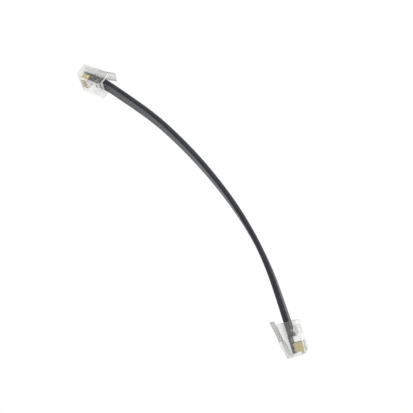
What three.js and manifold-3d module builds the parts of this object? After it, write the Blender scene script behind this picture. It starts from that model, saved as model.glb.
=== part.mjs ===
// Short flat patch lead: a flat six-conductor cord with a clear six-way modular plug crimped on each end.
// Millimetres, +Z up. The lead lies on its narrow edge, both plugs on their side walls, leaning on the
// edge next to the latch. The floor is z = 0 and the plugs stand at the two ends of X.
import * as THREE from "three";
import { mergeVertices } from "three/addons/utils/BufferGeometryUtils.js";
import Module from "manifold-3d";

const wasm = await Module();
wasm.setup();

// Plug body. In a plug's own frame x runs forward from the cord entry, y across the pins (pin 1 at +y)
// and z from the latch side (0) to the contact side.
const PLUG_LENGTH = 12.3;
const PLUG_WIDTH = 9.65;
const PLUG_HEIGHT = 7.0;
const NOSE_CHAMFER = 1.2;
const BODY_BEVEL = 0.35;

// Flat cord.
const CORD_WIDTH = 6.6;
const CORD_THICKNESS = 2.2;
const CORD_AXIS_HEIGHT = 3.3;
const CORD_INSERTION = 5.5;
const CORD_STEPS = 64;
const CORNER_POINTS = 3;
const CORD_FLOOR_GAP = 0.05;

// Fits.
const CORD_CLEARANCE = 0.35;
const CUT_OVERRUN = 1;
const PART_CLEARANCE = 0.3;
const ENTRY_FLARE = 0.4;
const ENTRY_FLARE_DEPTH = 0.8;

// Contacts and the insulated conductor ends below them.
const PIN_COUNT = 6;
const PIN_PITCH = 1.02;
const WIRE_DIAMETER = 0.9;
const WIRE_AXIS_HEIGHT = 2.6;
const WIRE_END_SETBACK = 1.1;
const WIRE_SIDES = 16;
const WIRE_COLOURS = ["white", "black", "red", "green", "yellow", "blue"];
const WIRE_HEX = [0xe9e7e0, 0x1b1b1d, 0xb3231f, 0x2a7a3e, 0xd9b62a, 0x2350a8];
const CONTACT_LENGTH = 3.2;
const CONTACT_THICKNESS = 0.3;
const CONTACT_SETBACK = 1.3;
const CONTACT_RECESS = 0.5;
const CONTACT_TOOTH_HEIGHT = 0.7;
const CONTACT_TOOTH_WIDTH = 1.0;
const CONTACT_TOOTH_INSET = 0.15;
const CONTACT_TOOTH_LIFT = 0.1;
const CONTACT_CORNER = 0.2;
const CONTACT_FRONT_CORNER = 0.35;
const CONTACT_SIDE_PLAY = 0.12;

// Cord clamp, pressed through its window in the contact side.
const CLAMP_BACK = 2.2;
const CLAMP_LENGTH = 2.5;
const CLAMP_WIDTH = 5.7;
const CLAMP_SINK = 0.3;
const CLAMP_DRAFT = 0.2;
const CLAMP_TIP_LENGTH = 0.6;
const CLAMP_TIP_HEIGHT = 0.7;

// Latch lever, hinged at the nose and splayed away from the body.
const LATCH_WIDTH = 6;
const LATCH_TAIL_WIDTH = 4.6;
const LATCH_THICKNESS = 1.05;
const LATCH_REACH = 13.4;
const LATCH_CATCH_START = 4.4;
const LATCH_CATCH_END = 5.9;
const LATCH_CATCH_RISE = 0.22;
const LATCH_RAMP_START = 0.8;
const LATCH_ROOT_REACH = 0.55;
const LATCH_TAIL_THINNING = 0.15;
const LATCH_CHAMFER = 0.2;
const LATCH_SPLAY = THREE.MathUtils.degToRad(11);
const LATCH_PIVOT_SETBACK = 0.7;
const LATCH_PIVOT_HEIGHT = 0.2;

// Where the cord enters each plug, which way the plug's nose points, and how far it leans on its latch edge.
const PLUG_A_ENTRY = new THREE.Vector2(-63.2, 0.1);
const PLUG_A_HEADING = THREE.MathUtils.degToRad(208.5);
const PLUG_A_LEAN = THREE.MathUtils.degToRad(13);
const PLUG_B_ENTRY = new THREE.Vector2(63.2, -0.4);
const PLUG_B_HEADING = THREE.MathUtils.degToRad(-20.6);
const PLUG_B_LEAN = THREE.MathUtils.degToRad(13);

// Free run of the cord between the two entries, seen from above. Halfway it comes down to the floor.
const CORD_RUN = [
  [-59.4, 1.35],
  [-55.4, 2.55],
  [-47.6, 4.85],
  [-39.7, 7.0],
  [-31.8, 8.7],
  [-23.9, 9.9],
  [-15.9, 10.8],
  [-7.9, 11.4],
  [0.1, 11.65],
  [8.1, 11.6],
  [16.1, 11.2],
  [24.0, 10.4],
  [31.9, 9.2],
  [39.7, 7.5],
  [47.3, 5.3],
  [54.9, 2.65],
];

const CONTACT_BACK = PLUG_LENGTH - CONTACT_SETBACK - CONTACT_LENGTH;
const CONTACT_TOP = PLUG_HEIGHT - CONTACT_RECESS;
const CONTACT_FOOT = WIRE_AXIS_HEIGHT + CONTACT_TOOTH_LIFT;
const CLAMP_FOOT = CORD_AXIS_HEIGHT + CORD_THICKNESS / 2 + PART_CLEARANCE;
const LATCH_BED = LATCH_PIVOT_HEIGHT + LATCH_THICKNESS / 2 + PART_CLEARANCE;
const WIRE_BACK = CORD_INSERTION + PART_CLEARANCE;
const WIRE_LENGTH = PLUG_LENGTH - WIRE_END_SETBACK - WIRE_BACK;

const clearPlastic = () => material(0xdfe4e6, 0.12, 0);
const goldPlate = () => material(0xd2a23c, 0.28, 1);
const cordPvc = () => material(0x45464c, 0.5, 0);

function material(colour, roughness, metalness) {
  return new THREE.MeshStandardMaterial({ color: colour, roughness, metalness });
}

function solidFrom(geometry) {
  const bare = new THREE.BufferGeometry();
  bare.setAttribute("position", geometry.getAttribute("position"));
  if (geometry.index) bare.setIndex(geometry.index);
  const merged = mergeVertices(bare, 1e-4);
  const vertProperties = new Float32Array(merged.attributes.position.array);
  const triVerts = new Uint32Array(merged.index.array);
  return new wasm.Manifold(new wasm.Mesh({ numProp: 3, vertProperties, triVerts }));
}

function geometryFrom(solid) {
  const mesh = solid.getMesh();
  const geometry = new THREE.BufferGeometry();
  geometry.setAttribute("position", new THREE.BufferAttribute(mesh.vertProperties, 3));
  geometry.setIndex(new THREE.BufferAttribute(mesh.triVerts, 1));
  geometry.computeVertexNormals();
  return geometry;
}

// A box given by its limits along each axis.
function block(x, y, z) {
  const geometry = new THREE.BoxGeometry(x[1] - x[0], y[1] - y[0], z[1] - z[0]);
  geometry.translate((x[0] + x[1]) / 2, (y[0] + y[1]) / 2, (z[0] + z[1]) / 2);
  return geometry;
}

// A side outline, given as (x, z) points, carried across the plug over the given width.
function profileAcross(outline, width) {
  const shape = new THREE.Shape(outline.map(([x, z]) => new THREE.Vector2(x, z)));
  const geometry = new THREE.ExtrudeGeometry(shape, { depth: width, bevelEnabled: false });
  geometry.rotateX(Math.PI / 2);
  geometry.translate(0, width / 2, 0);
  return geometry;
}

function pinPosition(pin) {
  return (PIN_COUNT / 2 - 0.5 - pin) * PIN_PITCH;
}

function bodyOutline() {
  return [
    [BODY_BEVEL, 0],
    [PLUG_LENGTH - BODY_BEVEL, 0],
    [PLUG_LENGTH, BODY_BEVEL],
    [PLUG_LENGTH, PLUG_HEIGHT - NOSE_CHAMFER],
    [PLUG_LENGTH - NOSE_CHAMFER, PLUG_HEIGHT],
    [BODY_BEVEL, PLUG_HEIGHT],
    [0, PLUG_HEIGHT - BODY_BEVEL],
    [0, BODY_BEVEL],
  ];
}

// Pocket for the cord jacket, flared where the cord goes in.
function cordPocket() {
  const half = CORD_THICKNESS / 2 + CORD_CLEARANCE;
  const outline = [
    [-ENTRY_FLARE_DEPTH, CORD_AXIS_HEIGHT - half - 2 * ENTRY_FLARE],
    [ENTRY_FLARE_DEPTH, CORD_AXIS_HEIGHT - half],
    [WIRE_BACK, CORD_AXIS_HEIGHT - half],
    [WIRE_BACK, CORD_AXIS_HEIGHT + half],
    [ENTRY_FLARE_DEPTH, CORD_AXIS_HEIGHT + half],
    [-ENTRY_FLARE_DEPTH, CORD_AXIS_HEIGHT + half + 2 * ENTRY_FLARE],
  ];
  return profileAcross(outline, CORD_WIDTH + 2 * CORD_CLEARANCE);
}

function wirePocket() {
  const halfWidth = ((PIN_COUNT - 1) * PIN_PITCH + WIRE_DIAMETER) / 2 + CONTACT_SIDE_PLAY;
  const halfHeight = WIRE_DIAMETER / 2 + CONTACT_SIDE_PLAY;
  return block(
    [CORD_INSERTION - PART_CLEARANCE, PLUG_LENGTH - WIRE_END_SETBACK + PART_CLEARANCE],
    [-halfWidth, halfWidth],
    [WIRE_AXIS_HEIGHT - halfHeight, WIRE_AXIS_HEIGHT + halfHeight],
  );
}

// One contact's slot: full depth over the blade, shallow through the nose to form the comb.
function contactSlot(pin) {
  const half = CONTACT_THICKNESS / 2 + CONTACT_SIDE_PLAY;
  const outline = [
    [CONTACT_BACK - CONTACT_SIDE_PLAY, WIRE_AXIS_HEIGHT],
    [CONTACT_BACK + CONTACT_LENGTH + CONTACT_SIDE_PLAY, WIRE_AXIS_HEIGHT],
    [CONTACT_BACK + CONTACT_LENGTH + CONTACT_SIDE_PLAY, CONTACT_TOP - NOSE_CHAMFER],
    [PLUG_LENGTH + CUT_OVERRUN, CONTACT_TOP - NOSE_CHAMFER],
    [PLUG_LENGTH + CUT_OVERRUN, PLUG_HEIGHT + CUT_OVERRUN],
    [CONTACT_BACK - CONTACT_SIDE_PLAY, PLUG_HEIGHT + CUT_OVERRUN],
  ];
  const geometry = profileAcross(outline, 2 * half);
  geometry.translate(0, pinPosition(pin), 0);
  return geometry;
}

function clampWindow() {
  const half = CLAMP_WIDTH / 2 + PART_CLEARANCE;
  return block(
    [CLAMP_BACK - PART_CLEARANCE, CLAMP_BACK + CLAMP_LENGTH + PART_CLEARANCE],
    [-half, half],
    [CORD_AXIS_HEIGHT, PLUG_HEIGHT + CUT_OVERRUN],
  );
}

// Channel along the latch side that takes the lever when it is pressed.
function latchBed() {
  const half = LATCH_WIDTH / 2 + PART_CLEARANCE;
  return block([-CUT_OVERRUN, PLUG_LENGTH + CUT_OVERRUN], [-half, half], [-CUT_OVERRUN, LATCH_BED]);
}

function housingGeometry() {
  let solid = solidFrom(profileAcross(bodyOutline(), PLUG_WIDTH));
  const cuts = [cordPocket(), wirePocket(), clampWindow(), latchBed()];
  for (let pin = 0; pin < PIN_COUNT; pin++) cuts.push(contactSlot(pin));
  for (const cut of cuts) solid = solid.subtract(solidFrom(cut));
  return geometryFrom(solid);
}

// Lever lying along the body: full width to the catch shoulders, narrower tail behind them.
function latchGeometry() {
  const top = LATCH_THICKNESS / 2;
  const tailTop = top - LATCH_TAIL_THINNING;
  const outline = [
    [LATCH_ROOT_REACH, -top + LATCH_CHAMFER],
    [LATCH_ROOT_REACH, top - LATCH_CHAMFER],
    [LATCH_ROOT_REACH - LATCH_CHAMFER, top],
    [-LATCH_CATCH_START, top],
    [-LATCH_CATCH_END, tailTop],
    [-LATCH_REACH + LATCH_CHAMFER, tailTop],
    [-LATCH_REACH, tailTop - LATCH_CHAMFER],
    [-LATCH_REACH, -top + LATCH_CHAMFER],
    [-LATCH_REACH + LATCH_CHAMFER, -top],
    [-LATCH_CATCH_END, -top],
    [-LATCH_CATCH_END, -top - LATCH_CATCH_RISE],
    [-LATCH_CATCH_START, -top - LATCH_CATCH_RISE],
    [-LATCH_RAMP_START, -top],
  ];
  const sideCut = (side) =>
    block(
      [-LATCH_REACH - CUT_OVERRUN, -LATCH_CATCH_END],
      side > 0 ? [LATCH_TAIL_WIDTH / 2, LATCH_WIDTH] : [-LATCH_WIDTH, -LATCH_TAIL_WIDTH / 2],
      [-LATCH_THICKNESS, LATCH_THICKNESS],
    );
  let solid = solidFrom(profileAcross(outline.reverse(), LATCH_WIDTH));
  for (const side of [-1, 1]) solid = solid.subtract(solidFrom(sideCut(side)));
  const geometry = geometryFrom(solid);
  geometry.rotateY(-LATCH_SPLAY);
  geometry.translate(PLUG_LENGTH - LATCH_PIVOT_SETBACK, 0, LATCH_PIVOT_HEIGHT);
  return geometry;
}

function clampGeometry() {
  const front = CLAMP_BACK + CLAMP_LENGTH;
  const middle = CLAMP_BACK + CLAMP_LENGTH / 2;
  const top = PLUG_HEIGHT - CLAMP_SINK;
  const outline = [
    [CLAMP_BACK, top],
    [CLAMP_BACK + CLAMP_DRAFT, CLAMP_FOOT + CLAMP_TIP_HEIGHT],
    [middle - CLAMP_TIP_LENGTH / 2, CLAMP_FOOT],
    [middle + CLAMP_TIP_LENGTH / 2, CLAMP_FOOT],
    [front - CLAMP_DRAFT, CLAMP_FOOT + CLAMP_TIP_HEIGHT],
    [front, top],
  ];
  return profileAcross(outline, CLAMP_WIDTH);
}

// Stamped blade: flat spring-contact top edge, two teeth that pierce the conductor.
function contactGeometry(pin) {
  const front = CONTACT_BACK + CONTACT_LENGTH;
  const root = CONTACT_FOOT + CONTACT_TOOTH_HEIGHT;
  const tooth = (back) => [
    [back, root],
    [back + CONTACT_TOOTH_WIDTH / 2, CONTACT_FOOT],
    [back + CONTACT_TOOTH_WIDTH, root],
  ];
  const outline = [
    ...tooth(CONTACT_BACK + CONTACT_TOOTH_INSET),
    ...tooth(front - CONTACT_TOOTH_INSET - CONTACT_TOOTH_WIDTH),
    [front, root + CONTACT_CORNER],
    [front, CONTACT_TOP - CONTACT_FRONT_CORNER],
    [front - CONTACT_FRONT_CORNER, CONTACT_TOP],
    [CONTACT_BACK + CONTACT_CORNER, CONTACT_TOP],
    [CONTACT_BACK, CONTACT_TOP - CONTACT_CORNER],
    [CONTACT_BACK, root + CONTACT_CORNER],
  ];
  const geometry = profileAcross(outline, CONTACT_THICKNESS);
  geometry.translate(0, pinPosition(pin), 0);
  return geometry;
}

// Conductor end, slit along the top where its contact goes in.
function wireGeometry(pin) {
  const radius = WIRE_DIAMETER / 2;
  const rod = new THREE.CylinderGeometry(radius, radius, WIRE_LENGTH, WIRE_SIDES);
  rod.rotateZ(Math.PI / 2);
  rod.translate(WIRE_BACK + WIRE_LENGTH / 2, 0, WIRE_AXIS_HEIGHT);
  const half = CONTACT_THICKNESS / 2 + CONTACT_SIDE_PLAY / 2;
  const slit = block(
    [CONTACT_BACK - CONTACT_SIDE_PLAY, CONTACT_BACK + CONTACT_LENGTH + CONTACT_SIDE_PLAY],
    [-half, half],
    [WIRE_AXIS_HEIGHT, WIRE_AXIS_HEIGHT + radius + CUT_OVERRUN],
  );
  const geometry = geometryFrom(solidFrom(rod).subtract(solidFrom(slit)));
  geometry.translate(0, pinPosition(pin), 0);
  return geometry;
}

// Height of the cord's centre line where a plug leans on the side-wall edge next to its latch.
function entryHeight(lean) {
  return (PLUG_WIDTH / 2) * Math.cos(lean) + CORD_AXIS_HEIGHT * Math.sin(lean);
}

// The plug's frame in the room: the centre of its cord entry, its nose along the heading.
function placePlug(parts, entry, heading, lean) {
  const leaned = new THREE.Group();
  leaned.rotation.x = lean - Math.PI / 2;
  const placed = new THREE.Group();
  placed.position.set(entry.x, entry.y, entryHeight(lean));
  placed.rotation.z = heading;
  for (const part of parts) {
    part.position.z = -CORD_AXIS_HEIGHT;
    leaned.add(part);
  }
  placed.add(leaned);
  return placed;
}

function named(name, geometry, surface) {
  const mesh = new THREE.Mesh(geometry, surface);
  mesh.name = name;
  return mesh;
}

function plugParts(prefix) {
  const parts = [
    named(prefix + "_housing", housingGeometry(), clearPlastic()),
    named(prefix + "_latch", latchGeometry(), clearPlastic()),
    named(prefix + "_cord_clamp", clampGeometry(), clearPlastic()),
  ];
  for (let pin = 0; pin < PIN_COUNT; pin++) {
    const number = pin + 1;
    const wireName = prefix + "_wire_" + number + "_" + WIRE_COLOURS[pin];
    parts.push(named(prefix + "_contact_" + number, contactGeometry(pin), goldPlate()));
    parts.push(named(wireName, wireGeometry(pin), material(WIRE_HEX[pin], 0.45, 0)));
  }
  return parts;
}

// Centre line of the cord, carrying the direction of the cord's width from one plug's lean to the other's.
class CordPath extends THREE.CatmullRomCurve3 {
  computeFrenetFrames(segments) {
    const frames = { tangents: [], normals: [], binormals: [] };
    for (let i = 0; i <= segments; i++) {
      const along = i / segments;
      const tangent = this.getTangentAt(along).normalize();
      const left = new THREE.Vector3(-tangent.y, tangent.x, 0).normalize();
      const up = new THREE.Vector3().crossVectors(tangent, left);
      const twist = THREE.MathUtils.lerp(PLUG_A_LEAN, -PLUG_B_LEAN, along);
      const width = up.multiplyScalar(Math.cos(twist)).addScaledVector(left, Math.sin(twist));
      frames.tangents.push(tangent);
      frames.normals.push(width);
      frames.binormals.push(new THREE.Vector3().crossVectors(tangent, width));
    }
    return frames;
  }
}

function entryPoint(entry, heading, lean, depth) {
  return new THREE.Vector3(
    entry.x + depth * Math.cos(heading),
    entry.y + depth * Math.sin(heading),
    entryHeight(lean),
  );
}

function cordPath() {
  const startHeight = entryHeight(PLUG_A_LEAN);
  const endHeight = entryHeight(PLUG_B_LEAN);
  const sag = (startHeight + endHeight) / 2 - CORD_WIDTH / 2 - CORD_FLOOR_GAP;
  const depths = [CORD_INSERTION, CORD_INSERTION / 2, 0];
  const inA = depths.map((depth) => entryPoint(PLUG_A_ENTRY, PLUG_A_HEADING, PLUG_A_LEAN, depth));
  const inB = depths.map((depth) => entryPoint(PLUG_B_ENTRY, PLUG_B_HEADING, PLUG_B_LEAN, depth));
  const free = CORD_RUN.map(([x, y], i) => {
    const along = (i + 1) / (CORD_RUN.length + 1);
    const level = THREE.MathUtils.lerp(startHeight, endHeight, along);
    return new THREE.Vector3(x, y, level - sag * Math.sin(Math.PI * along) ** 2);
  });
  return new CordPath([...inA, ...free, ...inB.reverse()]);
}

// Flat section with rounded narrow edges: width along x, thickness along y.
function cordSection() {
  const radius = CORD_THICKNESS / 2;
  const reach = CORD_WIDTH / 2 - radius;
  const points = [];
  for (const side of [1, -1]) {
    const turn = side > 0 ? -Math.PI / 2 : Math.PI / 2;
    const steps = 2 * CORNER_POINTS - 1;
    for (let i = 0; i <= steps; i++) {
      const angle = turn + (Math.PI * i) / steps;
      points.push(
        new THREE.Vector2(side * reach + radius * Math.cos(angle), radius * Math.sin(angle)),
      );
    }
  }
  return new THREE.Shape(points);
}

function cordJacket() {
  const geometry = new THREE.ExtrudeGeometry(cordSection(), {
    steps: CORD_STEPS,
    extrudePath: cordPath(),
    bevelEnabled: false,
  });
  return named("cord_jacket", geometry, cordPvc());
}

const plugs = new THREE.Group();
plugs.add(placePlug(plugParts("plug_a"), PLUG_A_ENTRY, PLUG_A_HEADING, PLUG_A_LEAN));
plugs.add(placePlug(plugParts("plug_b"), PLUG_B_ENTRY, PLUG_B_HEADING, PLUG_B_LEAN));

// The origin is the floor point under the middle of the two plugs' common box.
const middle = new THREE.Box3().setFromObject(plugs, true).getCenter(new THREE.Vector3());
const group = new THREE.Group();
group.name = "flat_patch_lead";
group.add(cordJacket());
group.add(plugs);
group.position.set(-middle.x, -middle.y, 0);

export default group;
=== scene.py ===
"""Looks of a short flat patch lead: a charcoal flat cord with a clear six-way modular plug on each end.

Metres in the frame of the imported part. Plug pieces are modelled in millimetres in the plug's own frame
(x forward from the cord entry, y across the pins, z from the latch side to the contact side) and then
carried to each end of the cord.
"""

import math

import bmesh
import bpy
from mathutils import Matrix, Vector


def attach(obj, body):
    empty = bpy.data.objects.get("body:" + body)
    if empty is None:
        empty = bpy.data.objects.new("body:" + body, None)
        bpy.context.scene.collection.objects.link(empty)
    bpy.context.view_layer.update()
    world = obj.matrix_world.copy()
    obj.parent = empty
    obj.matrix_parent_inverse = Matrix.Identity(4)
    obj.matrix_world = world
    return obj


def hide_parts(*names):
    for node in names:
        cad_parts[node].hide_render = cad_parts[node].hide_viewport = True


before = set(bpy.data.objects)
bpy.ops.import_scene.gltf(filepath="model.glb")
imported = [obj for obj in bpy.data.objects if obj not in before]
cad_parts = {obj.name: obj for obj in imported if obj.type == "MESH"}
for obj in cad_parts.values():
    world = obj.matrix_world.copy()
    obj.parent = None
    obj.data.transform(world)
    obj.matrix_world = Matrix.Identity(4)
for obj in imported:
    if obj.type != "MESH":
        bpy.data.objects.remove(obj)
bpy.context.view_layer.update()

MM = 0.001

# ---------------------------------------------------------------- the lead's own sizes, in millimetres
# Plug body and cord
PLUG_LENGTH = 12.3
PLUG_WIDTH = 9.65
PLUG_HEIGHT = 7.0
NOSE_CHAMFER = 1.2
BODY_BEVEL = 0.35
CORD_WIDTH = 6.6
CORD_THICKNESS = 2.2
CORD_AXIS_HEIGHT = 3.3
CORD_INSERTION = 5.5
# Conductors and contacts
PIN_COUNT = 6
PIN_PITCH = 1.02
WIRE_DIAMETER = 0.9
WIRE_AXIS_HEIGHT = 2.6
WIRE_END = PLUG_LENGTH - 1.1
CONTACT_BACK = 7.8
CONTACT_FRONT = 11.0
CONTACT_TOP = 6.5
CONTACT_FOOT = 2.7
SLOT_GAP = 0.12
SLOT_WIDTH = 0.54
BLADE_THICKNESS = 0.3
BLADE_CORNER = 0.2
BLADE_FRONT_CORNER = 0.35
TOOTH_HEIGHT = 0.7
TOOTH_OUTER = 0.15
TOOTH_TIP = 0.7
TOOTH_INNER = 1.2
WIRE_SETBACK = 0.4
SLIT_HALF = 0.21
COPPER_INSET = 0.17
COPPER_STEP = 0.08
WIRE_NAMES = ["white", "black", "red", "green", "yellow", "blue"]
# Hollows of the housing
POCKET_GAP = 0.35
POCKET_FLARE = 0.8
POCKET_DEPTH = 5.8
WIRE_POCKET_BACK = 5.2
WIRE_POCKET_FRONT = 11.5
WIRE_POCKET_SIDE = 3.12
WIRE_POCKET_HALF = 0.57
WINDOW_BACK = 1.9
WINDOW_FRONT = 5.0
WINDOW_SIDE = 3.15
LATCH_BED_SIDE = 3.3
LATCH_BED_TOP = 1.025
CUT_OVERRUN = 1
# Latch lever, measured from its hinge, with minus towards the cord
LATCH_PIVOT = (11.6, 0.2)
LATCH_SPLAY = math.radians(11)
LATCH_HALF = 0.525
LATCH_WIDTH = 6.0
LATCH_TAIL_SIDE = 2.3
LATCH_TAIL_START = -5.9
LATCH_RAMP_END = -4.4
LATCH_TAIL_END = -13.4
LATCH_TAIL_THINNING = 0.15
LATCH_RAMP_START = -0.8
LATCH_ROOT_REACH = 0.55
LATCH_ROOT_CORNER = 0.1
LATCH_CORNER = 0.2
LATCH_BUMP = 0.22

# The part's origin is under the middle of the two plugs, a little off the middle of their cord entries.
ORIGIN_SHIFT = Vector((-0.0268, 1.4557, 0))
PLUGS = {
    "a": {"entry": (-63.2, 0.1), "heading": math.radians(208.5), "lean": math.radians(13)},
    "b": {"entry": (63.2, -0.4), "heading": math.radians(-20.6), "lean": math.radians(13)},
}
# Middle line of the cord between the plugs, seen from above, in metres.
CORD_RUN = [
    (-0.0594, 0.00135), (-0.0554, 0.00255), (-0.0476, 0.00485), (-0.0397, 0.0070),
    (-0.0318, 0.0087), (-0.0239, 0.0099), (-0.0159, 0.0108), (-0.0079, 0.0114),
    (0.0001, 0.01165), (0.0081, 0.0116), (0.0161, 0.0112), (0.0240, 0.0104),
    (0.0319, 0.0092), (0.0397, 0.0075), (0.0473, 0.0053), (0.0549, 0.00265),
]
CORD_FLOOR_GAP = 0.05

# Clamp tongue and the groove that it presses in the jacket
CLAMP_WIDTH = 5.7
CLAMP_BACK = 2.2
CLAMP_FRONT = 4.7
CLAMP_FOOT_BACK = 3.15
CLAMP_FOOT_FRONT = 3.75
CLAMP_DRAFT = 0.2
CLAMP_RISE = 1.3
CLAMP_SINK = 0.3
CLAMP_CLEARANCE = 0.08
CLAMP_BITE = 0.75
BITE_MIDDLE = 3.5
BITE_REACH = 0.9
# Jacket section
EDGE_RADIUS = 0.85
CORNER_STEPS = 5
STEPS_PER_CONDUCTOR = 6
RIDGE_HEIGHT = 0.07
# Extra roll of the cord halfway along, on top of the even twist from plug to plug.
CORD_ROLL = math.radians(5)
CORD_STEPS = 240
LINE_STEPS = 12
# Rounding of edges
SMOOTH_ANGLE = math.radians(28)
HOUSING_ROUNDING = 0.2
LATCH_ROUNDING = 0.14
CLAMP_ROUNDING = 0.12
BLADE_ROUNDING = 0.06
# Material slots of a clear piece
EDGE_SLOT = 1
INSIDE_SLOT = 2


# ---------------------------------------------------------------- small helpers
def deselect_all():
    if bpy.context.object and bpy.context.object.mode != "OBJECT":
        bpy.ops.object.mode_set(mode="OBJECT")
    bpy.ops.object.select_all(action="DESELECT")


def make_active(obj):
    deselect_all()
    obj.select_set(True)
    bpy.context.view_layer.objects.active = obj
    return obj


def apply_modifier(obj, modifier):
    make_active(obj)
    bpy.ops.object.modifier_apply(modifier=modifier.name)


def box(name, low, high):
    """A block between two corners."""
    deselect_all()
    middle = [(a + b) / 2 for a, b in zip(low, high)]
    bpy.ops.mesh.primitive_cube_add(size=1, location=middle)
    obj = bpy.context.object
    obj.name = name
    obj.scale = [b - a for a, b in zip(low, high)]
    bpy.ops.object.transform_apply(location=True, rotation=True, scale=True)
    return obj


def profile(name, outline, width, middle=0.0):
    """A side outline of (x, z) points extruded across the plug."""
    deselect_all()
    bpy.ops.mesh.primitive_circle_add(vertices=len(outline), fill_type="NGON")
    obj = bpy.context.object
    obj.name = name
    for vertex, (x, z) in zip(obj.data.vertices, outline):
        vertex.co = (x, middle - width / 2, z)
    bpy.ops.object.mode_set(mode="EDIT")
    bpy.ops.mesh.select_all(action="SELECT")
    bpy.ops.mesh.extrude_region_move(TRANSFORM_OT_translate={"value": (0, width, 0)})
    bpy.ops.mesh.select_all(action="SELECT")
    bpy.ops.mesh.normals_make_consistent(inside=False)
    bpy.ops.object.mode_set(mode="OBJECT")
    return obj


def cut(obj, cutter):
    """Takes the cutter out of the piece; on a clear piece the new walls take the inside material."""
    for face in cutter.data.polygons:
        face.material_index = INSIDE_SLOT
    modifier = obj.modifiers.new("cut", "BOOLEAN")
    modifier.operation = "DIFFERENCE"
    modifier.solver = "EXACT"
    modifier.object = cutter
    apply_modifier(obj, modifier)
    bpy.data.objects.remove(cutter)


def round_edges(obj, width, segments=2, angle=30, edge_slot=-1):
    """Rounds every crisp edge; the rounding may take a material slot of its own."""
    modifier = obj.modifiers.new("edges", "BEVEL")
    modifier.width = width
    modifier.segments = segments
    modifier.limit_method = "ANGLE"
    modifier.angle_limit = math.radians(angle)
    modifier.material = edge_slot
    apply_modifier(obj, modifier)
    bpy.ops.object.shade_smooth_by_angle(angle=SMOOTH_ANGLE)


def copy_of(master, name):
    obj = master.copy()
    obj.data = master.data.copy()
    obj.name = name
    bpy.context.scene.collection.objects.link(obj)
    return obj


def pin_y(pin):
    return (PIN_COUNT / 2 - 0.5 - pin) * PIN_PITCH


def entry_height(lean):
    return PLUG_WIDTH / 2 * math.cos(lean) + CORD_AXIS_HEIGHT * math.sin(lean)


def plug_matrix(key):
    """From the plug's own frame in millimetres to the part's frame in metres."""
    plug = PLUGS[key]
    spot = Vector((*plug["entry"], entry_height(plug["lean"]))) + ORIGIN_SHIFT
    turn = Matrix.Rotation(plug["heading"], 4, "Z") @ Matrix.Rotation(plug["lean"] - math.pi / 2, 4, "X")
    down = Matrix.Translation((0, 0, -CORD_AXIS_HEIGHT))
    return Matrix.Scale(MM, 4) @ Matrix.Translation(spot) @ turn @ down


def carry(obj, matrix):
    make_active(obj)
    obj.matrix_world = matrix
    bpy.ops.object.transform_apply(location=True, rotation=True, scale=True)


# ---------------------------------------------------------------- materials
def linear(hex_colour):
    """An sRGB hex colour as the linear values that shaders take."""
    def one(v):
        return v / 12.92 if v <= 0.04045 else ((v + 0.055) / 1.055) ** 2.4
    return tuple(one(int(hex_colour[i:i + 2], 16) / 255) for i in (1, 3, 5)) + (1.0,)


def node(tree, kind, inputs=None, **settings):
    """Adds a node; an input's value is a constant or another node's output socket."""
    made = tree.nodes.new(kind)
    for key, value in settings.items():
        setattr(made, key, value)
    for key, value in (inputs or {}).items():
        if isinstance(value, bpy.types.NodeSocket):
            tree.links.new(value, made.inputs[key])
        else:
            made.inputs[key].default_value = value
    return made


def new_material(name):
    material = bpy.data.materials.new(name)
    material.use_nodes = True
    tree = material.node_tree
    tree.nodes.clear()
    output = tree.nodes.new("ShaderNodeOutputMaterial")
    return material, tree, output


def noise(tree, size_mm, detail=3.0, roughness=0.5, stretch=(1, 1, 1)):
    """Noise whose features are about size_mm across, in the part's own coordinates."""
    place = node(tree, "ShaderNodeTexCoord")
    scaled = node(tree, "ShaderNodeMapping", {"Vector": place.outputs["Object"], "Scale": stretch})
    return node(tree, "ShaderNodeTexNoise", {
        "Vector": scaled.outputs["Vector"],
        "Scale": 1 / (size_mm * MM),
        "Detail": detail,
        "Roughness": roughness,
    }).outputs["Fac"]


def spread(tree, source, low, high, from_low=0.3, from_high=0.7):
    return node(tree, "ShaderNodeMapRange", {
        "Value": source, "From Min": from_low, "From Max": from_high, "To Min": low, "To Max": high,
    }).outputs["Result"]


def mix_colours(tree, factor, first, second):
    mixed = node(tree, "ShaderNodeMix", data_type="RGBA")
    if isinstance(factor, bpy.types.NodeSocket):
        tree.links.new(factor, mixed.inputs[0])
    else:
        mixed.inputs[0].default_value = factor
    for slot, colour in ((6, first), (7, second)):
        if isinstance(colour, bpy.types.NodeSocket):
            tree.links.new(colour, mixed.inputs[slot])
        else:
            mixed.inputs[slot].default_value = colour
    return mixed.outputs[2]


def bump(tree, height, strength, distance_mm):
    return node(tree, "ShaderNodeBump", {
        "Height": height, "Strength": strength, "Distance": distance_mm * MM,
    }).outputs["Normal"]


def cord_pvc():
    """Flexible charcoal PVC: satin, faintly mottled, with the very fine grain of extruded jacket."""
    material, tree, output = new_material("cord_flexible_pvc")
    mottle = noise(tree, 3.5, 4)
    grain = noise(tree, 0.12, 2)
    colour = mix_colours(tree, spread(tree, mottle, 0, 1), linear("#1a1d24"), linear("#262a32"))
    shader = node(tree, "ShaderNodeBsdfPrincipled", {
        "Base Color": colour,
        "Roughness": spread(tree, mottle, 0.28, 0.38),
        "IOR": 1.52,
        "Normal": bump(tree, grain, 0.12, 0.02),
    })
    tree.links.new(shader.outputs[0], output.inputs["Surface"])
    return material


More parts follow.
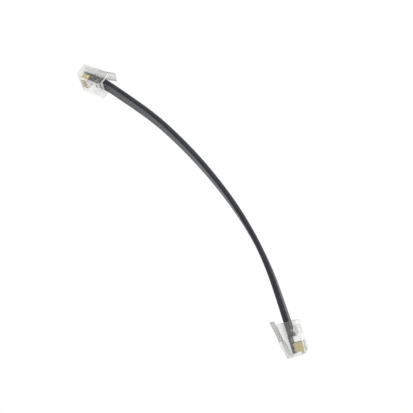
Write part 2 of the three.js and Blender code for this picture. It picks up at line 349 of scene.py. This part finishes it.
def clear_moulding(name, tint, dark, light, face_on, edge_on):
    """Clear plastic that greys what is behind it and carries a pale gloss, stronger edge on.

    Only walls that face the viewer carry the gloss; the far walls only tint.
    """
    material, tree, output = new_material(name)
    flow = noise(tree, 2.2, 2)
    turned = node(tree, "ShaderNodeLayerWeight", {"Blend": 0.5}).outputs["Facing"]
    through = node(tree, "ShaderNodeBsdfTransparent", {"Color": linear(tint)})
    gloss = node(tree, "ShaderNodeBsdfPrincipled", {
        "Base Color": mix_colours(tree, spread(tree, flow, 0, 1), linear(dark), linear(light)),
        "Roughness": spread(tree, flow, 0.1, 0.2),
        "IOR": 1.58,
        "Normal": bump(tree, flow, 0.12, 0.05),
    })
    share = node(tree, "ShaderNodeMath", {
        0: spread(tree, turned, face_on, edge_on, 0.27, 0.52),
        1: spread(tree, flow, 0.85, 1.15),
    }, operation="MULTIPLY", use_clamp=True)
    behind = node(tree, "ShaderNodeNewGeometry").outputs["Backfacing"]
    outer = node(tree, "ShaderNodeMath", {0: 1.0, 1: behind}, operation="SUBTRACT").outputs[0]
    share = node(tree, "ShaderNodeMath", {0: share.outputs[0], 1: outer}, operation="MULTIPLY")
    both = node(tree, "ShaderNodeMixShader", {
        0: share.outputs[0],
        1: through.outputs[0],
        2: gloss.outputs[0],
    })
    tree.links.new(both.outputs[0], output.inputs["Surface"])
    return material


def clear_polycarbonate():
    """Clear moulded polycarbonate: nearly colourless face on, whiter and glossier where it turns away."""
    return clear_moulding("clear_polycarbonate", "#f4f4f3", "#eeeeec", "#fcfcfa", 0.13, 0.68)


def clear_polycarbonate_edge_painted_light():
    """Rounded edges of the same moulding: real edges gather light and read as pale, denser lines, and that
    light and shade is painted in here as a denser grey tint and a stronger pale gloss.
    """
    return clear_moulding("clear_polycarbonate_edge_painted_light", "#c6c7c8", "#e6e6e4", "#f8f8f6", 0.22, 0.55)


def clear_polycarbonate_inside():
    """Walls of the pockets and slots inside the moulding: clearer still, so what they hold shows."""
    return clear_moulding("clear_polycarbonate_inside", "#fafaf9", "#f4f4f2", "#ffffff", 0.01, 0.1)


def gold_plate():
    """Gold-plated phosphor bronze blade: warm metal, drawn lines from stamping."""
    material, tree, output = new_material("gold_plated_bronze")
    lines = noise(tree, 0.3, 3, stretch=(1, 1, 6))
    colour = mix_colours(tree, spread(tree, lines, 0, 1), linear("#e2cc76"), linear("#fdf0c0"))
    shader = node(tree, "ShaderNodeBsdfPrincipled", {
        "Base Color": colour,
        "Metallic": 1.0,
        "Roughness": spread(tree, lines, 0.32, 0.5),
        "Normal": bump(tree, lines, 0.15, 0.01),
    })
    tree.links.new(shader.outputs[0], output.inputs["Surface"])
    return material


def wire_insulation(name, dark, light):
    """Thin coloured PVC insulation: slightly glossy, with a soft change of tone along the wire."""
    material, tree, output = new_material("wire_insulation_" + name)
    tone = noise(tree, 1.2, 3)
    shader = node(tree, "ShaderNodeBsdfPrincipled", {
        "Base Color": mix_colours(tree, spread(tree, tone, 0, 1), linear(dark), linear(light)),
        "Roughness": spread(tree, tone, 0.3, 0.42),
        "IOR": 1.5,
        "Normal": bump(tree, noise(tree, 0.1, 1), 0.08, 0.01),
    })
    tree.links.new(shader.outputs[0], output.inputs["Surface"])
    return material


def bare_copper():
    """Cut end of the stranded copper core: bright, uneven."""
    material, tree, output = new_material("copper_strands")
    strands = noise(tree, 0.12, 1)
    shader = node(tree, "ShaderNodeBsdfPrincipled", {
        "Base Color": mix_colours(tree, spread(tree, strands, 0, 1), linear("#8a4a2a"), linear("#d98d5f")),
        "Metallic": 1.0,
        "Roughness": 0.35,
        "Normal": bump(tree, strands, 0.5, 0.03),
    })
    tree.links.new(shader.outputs[0], output.inputs["Surface"])
    return material


WIRE_TONES = {
    "white": ("#d9d6cc", "#efede6"),
    "black": ("#151517", "#232326"),
    "red": ("#99201c", "#bd2f28"),
    "green": ("#1f6b38", "#2f8a4c"),
    "yellow": ("#c9a423", "#e3c23c"),
    "blue": ("#0e1c38", "#1f4c88"),
}
CORD_PVC = cord_pvc()
CLEAR = clear_polycarbonate()
# The rounded edges of the clear pieces carry painted light and shade: a denser grey tint and a paler gloss.
CLEAR_EDGE_PAINTED_LIGHT = clear_polycarbonate_edge_painted_light()
CLEAR_INSIDE = clear_polycarbonate_inside()
CLEAR_SET = (CLEAR, CLEAR_EDGE_PAINTED_LIGHT, CLEAR_INSIDE)
GOLD = gold_plate()
COPPER = bare_copper()
INSULATION = {name: wire_insulation(name, *tones) for name, tones in WIRE_TONES.items()}


# ---------------------------------------------------------------- camera
CAMERA_AT = Vector((0.0634, -0.0078, 0.1919))
CAMERA_RIGHT = Vector((0.5893, 0.7985, -0.1231))
CAMERA_AHEAD = Vector((-0.2796, 0.0586, -0.9583))
CAMERA_LENS = 42.3


def add_camera():
    data = bpy.data.cameras.new("camera")
    data.lens = CAMERA_LENS
    data.sensor_width = 36
    data.clip_start = 0.01
    camera = bpy.data.objects.new("camera", data)
    bpy.context.scene.collection.objects.link(camera)
    back = -CAMERA_AHEAD.normalized()
    right = (CAMERA_RIGHT - back * CAMERA_RIGHT.dot(back)).normalized()
    up = back.cross(right)
    turn = Matrix((right, up, back)).transposed().to_4x4()
    camera.matrix_world = Matrix.Translation(CAMERA_AT) @ turn
    bpy.context.scene.camera = camera


# ---------------------------------------------------------------- cord
def plug_point(key, depth):
    plug = PLUGS[key]
    x = plug["entry"][0] + depth * math.cos(plug["heading"])
    y = plug["entry"][1] + depth * math.sin(plug["heading"])
    return (Vector((x, y, entry_height(plug["lean"]))) + ORIGIN_SHIFT) * MM


def route_points():
    """Route of the cord's centre line: out of plug A, down to the floor halfway, up into plug B."""
    depths = (CORD_INSERTION, CORD_INSERTION / 2, 0)
    start = entry_height(PLUGS["a"]["lean"])
    end = entry_height(PLUGS["b"]["lean"])
    sag = (start + end) / 2 - CORD_WIDTH / 2 - CORD_FLOOR_GAP
    points = [plug_point("a", d) for d in depths]
    for i, (x, y) in enumerate(CORD_RUN):
        along = (i + 1) / (len(CORD_RUN) + 1)
        z = start + (end - start) * along - sag * math.sin(math.pi * along) ** 2
        points.append(Vector((x, y, z * MM)) + ORIGIN_SHIFT * MM)
    return points + [plug_point("b", d) for d in reversed(depths)]


def smooth_line(points, steps):
    """A centripetal Catmull-Rom curve through the points."""
    ends = [points[0] * 2 - points[1], *points, points[-1] * 2 - points[-2]]
    line = []
    for i in range(1, len(ends) - 2):
        p0, p1, p2, p3 = ends[i - 1:i + 3]
        d0, d1, d2 = [max(1e-9, (b - a).length) ** 0.5 for a, b in ((p0, p1), (p1, p2), (p2, p3))]
        t1 = ((p1 - p0) / d0 - (p2 - p0) / (d0 + d1) + (p2 - p1) / d1) * d1
        t2 = ((p2 - p1) / d1 - (p3 - p1) / (d1 + d2) + (p3 - p2) / d2) * d1
        for k in range(steps):
            t = k / steps
            line.append(p1 + t1 * t + (p2 * 3 - p1 * 3 - t1 * 2 - t2) * t ** 2
                        + (p1 * 2 - p2 * 2 + t1 + t2) * t ** 3)
    return line + [points[-1].copy()]


def line_length(line):
    return sum((b - a).length for a, b in zip(line, line[1:]))


def guide_curve(line):
    """The line as a curve that is tilted along its length by the twist from plug to plug."""
    data = bpy.data.curves.new("cord_guide", "CURVE")
    data.dimensions = "3D"
    data.twist_mode = "Z_UP"
    spline = data.splines.new("POLY")
    spline.points.add(len(line) - 1)
    total = line_length(line)
    run = 0.0
    for i, point in enumerate(line):
        if i:
            run += (point - line[i - 1]).length
        along = run / total
        twist = PLUGS["a"]["lean"] * (1 - along) - PLUGS["b"]["lean"] * along
        twist += CORD_ROLL * math.sin(math.pi * along) ** 2
        spline.points[i].co = (*point, 1)
        spline.points[i].tilt = -twist
    guide = bpy.data.objects.new("cord_guide", data)
    bpy.context.scene.collection.objects.link(guide)
    return guide


def jacket_section():
    """Outline of the jacket: rounded narrow edges, and flats that swell faintly over each conductor."""
    reach = CORD_WIDTH / 2 - EDGE_RADIUS
    half = CORD_THICKNESS / 2
    flat = STEPS_PER_CONDUCTOR * PIN_COUNT
    points = []
    for side in (1, -1):
        for i in range(flat):
            run = -reach + 2 * reach * i / flat
            swell = RIDGE_HEIGHT * (math.cos(2 * math.pi * run / PIN_PITCH + math.pi) - 1) / 2
            points.append((side * (half + swell), side * run))
        for i in range(CORNER_STEPS + 1):
            angle = math.pi / 2 * i / CORNER_STEPS
            points.append((side * (half - EDGE_RADIUS + EDGE_RADIUS * math.cos(angle)),
                           side * (reach + EDGE_RADIUS * math.sin(angle))))
        for i in range(1, CORNER_STEPS):
            angle = math.pi / 2 * i / CORNER_STEPS
            points.append((side * (EDGE_RADIUS - half - EDGE_RADIUS * math.sin(angle)),
                           side * (reach + EDGE_RADIUS * math.cos(angle))))
    return points


def cord_jacket(line):
    """Flat jacket: one section carried straight along x, nipped where the clamps bite, then bent."""
    section = jacket_section()
    deselect_all()
    bpy.ops.mesh.primitive_circle_add(vertices=len(section), fill_type="NOTHING")
    obj = bpy.context.object
    obj.name = "cord_jacket_skin"
    for vertex, (across, along_width) in zip(obj.data.vertices, section):
        vertex.co = (0, across * MM, along_width * MM)
    length = line_length(line)
    sweep = obj.modifiers.new("length", "SCREW")
    sweep.angle = 0
    sweep.axis = "X"
    sweep.screw_offset = length
    sweep.steps = CORD_STEPS
    sweep.render_steps = CORD_STEPS
    sweep.use_smooth_shade = True
    apply_modifier(obj, sweep)
    nip_jacket(obj, length)
    follow = obj.modifiers.new("route", "CURVE")
    follow.object = guide_curve(line)
    follow.deform_axis = "POS_X"
    guide = follow.object
    apply_modifier(obj, follow)
    bpy.data.objects.remove(guide)
    close_ends(obj)
    return obj


def nip_jacket(obj, length):
    """The clamp tongues press a shallow groove across the contact side near each end."""
    depth_in = (CORD_INSERTION - BITE_MIDDLE) * MM
    for middle, side in ((depth_in, -1), (length - depth_in, 1)):
        for vertex in obj.data.vertices:
            far = abs(vertex.co.x - middle) / (BITE_REACH * MM)
            if far < 1 and vertex.co.y * side > 0:
                vertex.co.y -= side * CLAMP_BITE * MM * (1 - far ** 2) ** 2


def close_ends(obj):
    make_active(obj)
    bpy.ops.object.mode_set(mode="EDIT")
    bpy.ops.mesh.select_all(action="DESELECT")
    bpy.ops.mesh.select_mode(type="EDGE")
    bpy.ops.mesh.select_non_manifold()
    bpy.ops.mesh.fill_holes(sides=0)
    bpy.ops.mesh.select_all(action="SELECT")
    bpy.ops.mesh.normals_make_consistent(inside=False)
    bpy.ops.object.mode_set(mode="OBJECT")
    bpy.ops.object.shade_smooth_by_angle(angle=math.radians(40))


add_camera()
cord_line = smooth_line(route_points(), LINE_STEPS)
jacket = cord_jacket(cord_line)
jacket.data.materials.clear()
jacket.data.materials.append(CORD_PVC)
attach(jacket, "lead")
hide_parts("cord_jacket")


# ---------------------------------------------------------------- plug pieces, once, in millimetres
def housing_master():
    outline = [
        (BODY_BEVEL, 0),
        (PLUG_LENGTH - BODY_BEVEL, 0),
        (PLUG_LENGTH, BODY_BEVEL),
        (PLUG_LENGTH, PLUG_HEIGHT - NOSE_CHAMFER),
        (PLUG_LENGTH - NOSE_CHAMFER, PLUG_HEIGHT),
        (BODY_BEVEL, PLUG_HEIGHT),
        (0, PLUG_HEIGHT - BODY_BEVEL),
        (0, BODY_BEVEL),
    ]
    body = profile("housing_master", outline, PLUG_WIDTH)
    for surface in CLEAR_SET:
        body.data.materials.append(surface)
    pocket_half = CORD_THICKNESS / 2 + POCKET_GAP
    pocket_low = CORD_AXIS_HEIGHT - pocket_half
    pocket_high = CORD_AXIS_HEIGHT + pocket_half
    cut(body, profile("pocket", [
        (-POCKET_FLARE, pocket_low - POCKET_FLARE),
        (POCKET_FLARE, pocket_low),
        (POCKET_DEPTH, pocket_low),
        (POCKET_DEPTH, pocket_high),
        (POCKET_FLARE, pocket_high),
        (-POCKET_FLARE, pocket_high + POCKET_FLARE),
    ], CORD_WIDTH + 2 * POCKET_GAP))
    cut(body, box(
        "wires",
        (WIRE_POCKET_BACK, -WIRE_POCKET_SIDE, WIRE_AXIS_HEIGHT - WIRE_POCKET_HALF),
        (WIRE_POCKET_FRONT, WIRE_POCKET_SIDE, WIRE_AXIS_HEIGHT + WIRE_POCKET_HALF),
    ))
    over_nose = PLUG_LENGTH + CUT_OVERRUN
    over_top = PLUG_HEIGHT + CUT_OVERRUN
    cut(body, box(
        "window",
        (WINDOW_BACK, -WINDOW_SIDE, CORD_AXIS_HEIGHT),
        (WINDOW_FRONT, WINDOW_SIDE, over_top),
    ))
    cut(body, box(
        "latch_bed",
        (-CUT_OVERRUN, -LATCH_BED_SIDE, -CUT_OVERRUN),
        (over_nose, LATCH_BED_SIDE, LATCH_BED_TOP),
    ))
    slot_floor = CONTACT_TOP - NOSE_CHAMFER
    for pin in range(PIN_COUNT):
        cut(body, profile("slot", [
            (CONTACT_BACK - SLOT_GAP, WIRE_AXIS_HEIGHT),
            (CONTACT_FRONT + SLOT_GAP, WIRE_AXIS_HEIGHT),
            (CONTACT_FRONT + SLOT_GAP, slot_floor),
            (over_nose, slot_floor),
            (over_nose, over_top),
            (CONTACT_BACK - SLOT_GAP, over_top),
        ], SLOT_WIDTH, pin_y(pin)))
    round_edges(body, HOUSING_ROUNDING, 2, edge_slot=EDGE_SLOT)
    return body


def latch_master():
    low = -LATCH_HALF
    high = LATCH_HALF
    tail_top = high - LATCH_TAIL_THINNING
    body = profile("latch_master", [
        (LATCH_RAMP_START, low),
        (LATCH_RAMP_END, low - LATCH_BUMP),
        (LATCH_TAIL_START, low - LATCH_BUMP),
        (LATCH_TAIL_START, low),
        (LATCH_TAIL_END + LATCH_CORNER, low),
        (LATCH_TAIL_END, low + LATCH_CORNER),
        (LATCH_TAIL_END, tail_top - LATCH_CORNER),
        (LATCH_TAIL_END + LATCH_CORNER, tail_top),
        (LATCH_TAIL_START, tail_top),
        (LATCH_RAMP_END, high),
        (LATCH_ROOT_REACH - LATCH_CORNER, high),
        (LATCH_ROOT_REACH, high - LATCH_CORNER),
        (LATCH_ROOT_REACH, low + LATCH_ROOT_CORNER),
    ], LATCH_WIDTH)
    past_tail = LATCH_TAIL_END - 2 * CUT_OVERRUN
    past_side = LATCH_WIDTH / 2 + CUT_OVERRUN
    for side in (-1, 1):
        y = sorted((side * LATCH_TAIL_SIDE, side * past_side))
        cut(body, box(
            "tail_side",
            (past_tail, y[0], -2 * CUT_OVERRUN),
            (LATCH_TAIL_START, y[1], 2 * CUT_OVERRUN),
        ))
    for surface in (CLEAR, CLEAR_EDGE_PAINTED_LIGHT):
        body.data.materials.append(surface)
    round_edges(body, LATCH_ROUNDING, 2, edge_slot=EDGE_SLOT)
    splay = Matrix.Rotation(-LATCH_SPLAY, 4, "Y")
    carry(body, Matrix.Translation((LATCH_PIVOT[0], 0, LATCH_PIVOT[1])) @ splay)
    return body


def clamp_master():
    foot = CORD_AXIS_HEIGHT + CORD_THICKNESS / 2 - CLAMP_BITE + CLAMP_CLEARANCE
    top = PLUG_HEIGHT - CLAMP_SINK
    body = profile("clamp_master", [
        (CLAMP_BACK, top),
        (CLAMP_BACK + CLAMP_DRAFT, foot + CLAMP_RISE),
        (CLAMP_FOOT_BACK, foot),
        (CLAMP_FOOT_FRONT, foot),
        (CLAMP_FRONT - CLAMP_DRAFT, foot + CLAMP_RISE),
        (CLAMP_FRONT, top),
    ], CLAMP_WIDTH)
    for surface in (CLEAR, CLEAR_EDGE_PAINTED_LIGHT):
        body.data.materials.append(surface)
    round_edges(body, CLAMP_ROUNDING, 2, edge_slot=EDGE_SLOT)
    return body


def contact_master():
    root = CONTACT_FOOT + TOOTH_HEIGHT
    body = profile("contact_master", [
        (CONTACT_BACK + TOOTH_OUTER, root),
        (CONTACT_BACK + TOOTH_TIP, CONTACT_FOOT),
        (CONTACT_BACK + TOOTH_INNER, root),
        (CONTACT_FRONT - TOOTH_INNER, root),
        (CONTACT_FRONT - TOOTH_TIP, CONTACT_FOOT),
        (CONTACT_FRONT - TOOTH_OUTER, root),
        (CONTACT_FRONT, root + BLADE_CORNER),
        (CONTACT_FRONT, CONTACT_TOP - BLADE_FRONT_CORNER),
        (CONTACT_FRONT - BLADE_FRONT_CORNER, CONTACT_TOP),
        (CONTACT_BACK + BLADE_CORNER, CONTACT_TOP),
        (CONTACT_BACK, CONTACT_TOP - BLADE_CORNER),
        (CONTACT_BACK, root + BLADE_CORNER),
    ], BLADE_THICKNESS)
    round_edges(body, BLADE_ROUNDING, 3, 20)
    return body


def wire_master():
    """Insulated conductor: slit for its contact on top, copper core showing in the cut end."""
    deselect_all()
    back = CORD_INSERTION - WIRE_SETBACK
    length = WIRE_END - back
    bpy.ops.mesh.primitive_cylinder_add(
        vertices=32, radius=WIRE_DIAMETER / 2, depth=length,
        location=(back + length / 2, 0, WIRE_AXIS_HEIGHT), rotation=(0, math.pi / 2, 0),
    )
    body = bpy.context.object
    body.name = "wire_master"
    bpy.ops.object.transform_apply(location=True, rotation=True, scale=True)
    body.data.materials.append(INSULATION["white"])
    body.data.materials.append(COPPER)
    bpy.ops.object.mode_set(mode="EDIT")
    bpy.ops.mesh.select_mode(type="FACE")
    mesh = bmesh.from_edit_mesh(body.data)
    for face in mesh.faces:
        face.select_set(face.normal.x > 0.9)
    bmesh.update_edit_mesh(body.data)
    bpy.ops.mesh.inset(thickness=COPPER_INSET)
    mesh = bmesh.from_edit_mesh(body.data)
    for face in mesh.faces:
        if face.select:
            face.material_index = 1
    bmesh.update_edit_mesh(body.data)
    bpy.ops.mesh.extrude_region_move(TRANSFORM_OT_translate={"value": (COPPER_STEP, 0, 0)})
    bpy.ops.object.mode_set(mode="OBJECT")
    cut(body, box(
        "slit",
        (CONTACT_BACK - SLOT_GAP, -SLIT_HALF, WIRE_AXIS_HEIGHT),
        (CONTACT_FRONT + SLOT_GAP, SLIT_HALF, WIRE_AXIS_HEIGHT + CUT_OVERRUN),
    ))
    bpy.ops.object.shade_smooth_by_angle(angle=math.radians(35))
    return body


def finish_piece(obj, body, cad_node, material):
    """Gives a placed copy its material in the first slot and its body, and hides the imported part that it
    stands in for.
    """
    if obj.data.materials:
        obj.data.materials[0] = material
    else:
        obj.data.materials.append(material)
    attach(obj, body)
    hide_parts(cad_node)


def place_pieces(masters):
    for key in PLUGS:
        matrix = plug_matrix(key)
        plug = "plug_" + key
        for part, body in (("housing", "lead"), ("latch", "latch_" + key), ("cord_clamp", "lead")):
            obj = copy_of(masters[part], plug + "_" + part + "_clear")
            carry(obj, matrix)
            finish_piece(obj, body, plug + "_" + part, CLEAR)
        for pin, colour in enumerate(WIRE_NAMES):
            aside = Matrix.Translation((0, pin_y(pin), 0))
            number = str(pin + 1)
            blade = copy_of(masters["contact"], plug + "_blade_" + number)
            carry(blade, matrix @ aside)
            finish_piece(blade, "lead", plug + "_contact_" + number, GOLD)
            wire = copy_of(masters["wire"], plug + "_conductor_" + number)
            carry(wire, matrix @ aside)
            name = plug + "_wire_" + number + "_" + colour
            finish_piece(wire, "lead", name, INSULATION[colour])


masters = {
    "housing": housing_master(),
    "latch": latch_master(),
    "cord_clamp": clamp_master(),
    "contact": contact_master(),
    "wire": wire_master(),
}
place_pieces(masters)
for master in masters.values():
    bpy.data.objects.remove(master)


# ---------------------------------------------------------------- floor and light
def floor_material():
    """Pale sweep that is plain white to the eye and through the clear plastic."""
    material, tree, output = new_material("pale_sweep")
    ray = node(tree, "ShaderNodeLightPath")
    seen = ray.outputs["Is Camera Ray"]
    for kind in ("Is Transmission Ray", "Is Glossy Ray"):
        seen = node(tree, "ShaderNodeMath", {0: seen, 1: ray.outputs[kind]}, operation="MAXIMUM").outputs[0]
    grey = node(tree, "ShaderNodeBsdfDiffuse", {"Color": linear("#e9eaec")})
    white = node(tree, "ShaderNodeEmission", {"Color": (1, 1, 1, 1), "Strength": 1.0})
    both = node(tree, "ShaderNodeMixShader", {0: seen, 1: grey.outputs[0], 2: white.outputs[0]})
    tree.links.new(both.outputs[0], output.inputs["Surface"])
    return material


def add_floor():
    deselect_all()
    bpy.ops.mesh.primitive_plane_add(size=4, location=(0, 0, 0))
    floor = bpy.context.object
    floor.name = "floor"
    floor.data.materials.append(floor_material())


def add_world():
    """Soft white surroundings, brightest low down, as in a light tent open at the top."""
    world = bpy.data.worlds.new("studio")
    world.use_nodes = True
    tree = world.node_tree
    tree.nodes.clear()
    output = tree.nodes.new("ShaderNodeOutputWorld")
    way = node(tree, "ShaderNodeTexCoord")
    height = node(tree, "ShaderNodeSeparateXYZ", {"Vector": way.outputs["Generated"]}).outputs["Z"]
    level = spread(tree, height, 1.0, 0.55, 0.1, 0.95)
    sky = node(tree, "ShaderNodeBackground", {"Color": (1, 1, 1, 1), "Strength": level})
    tree.links.new(sky.outputs[0], output.inputs["Surface"])
    bpy.context.scene.world = world


def add_softbox(name, spot, size, power):
    data = bpy.data.lights.new(name, "AREA")
    data.shape = "SQUARE"
    data.size = size
    data.energy = power
    light = bpy.data.objects.new(name, data)
    light.location = spot
    light.rotation_euler = (Vector((0, 0, 0)) - Vector(spot)).to_track_quat("-Z", "Y").to_euler()
    bpy.context.scene.collection.objects.link(light)


add_floor()
add_world()
add_softbox("key_softbox", (0.55, 0.05, 0.22), 0.4, 2.2)
add_softbox("fill_softbox", (-0.2, 0.35, 0.5), 0.4, 0.5)
bpy.context.scene.view_settings.view_transform = "Standard"
# The comb of a clear plug has many walls in a row, and a ray passes all of them.
bpy.context.scene.cycles.transparent_max_bounces = 64

deselect_all()
bpy.context.view_layer.update()
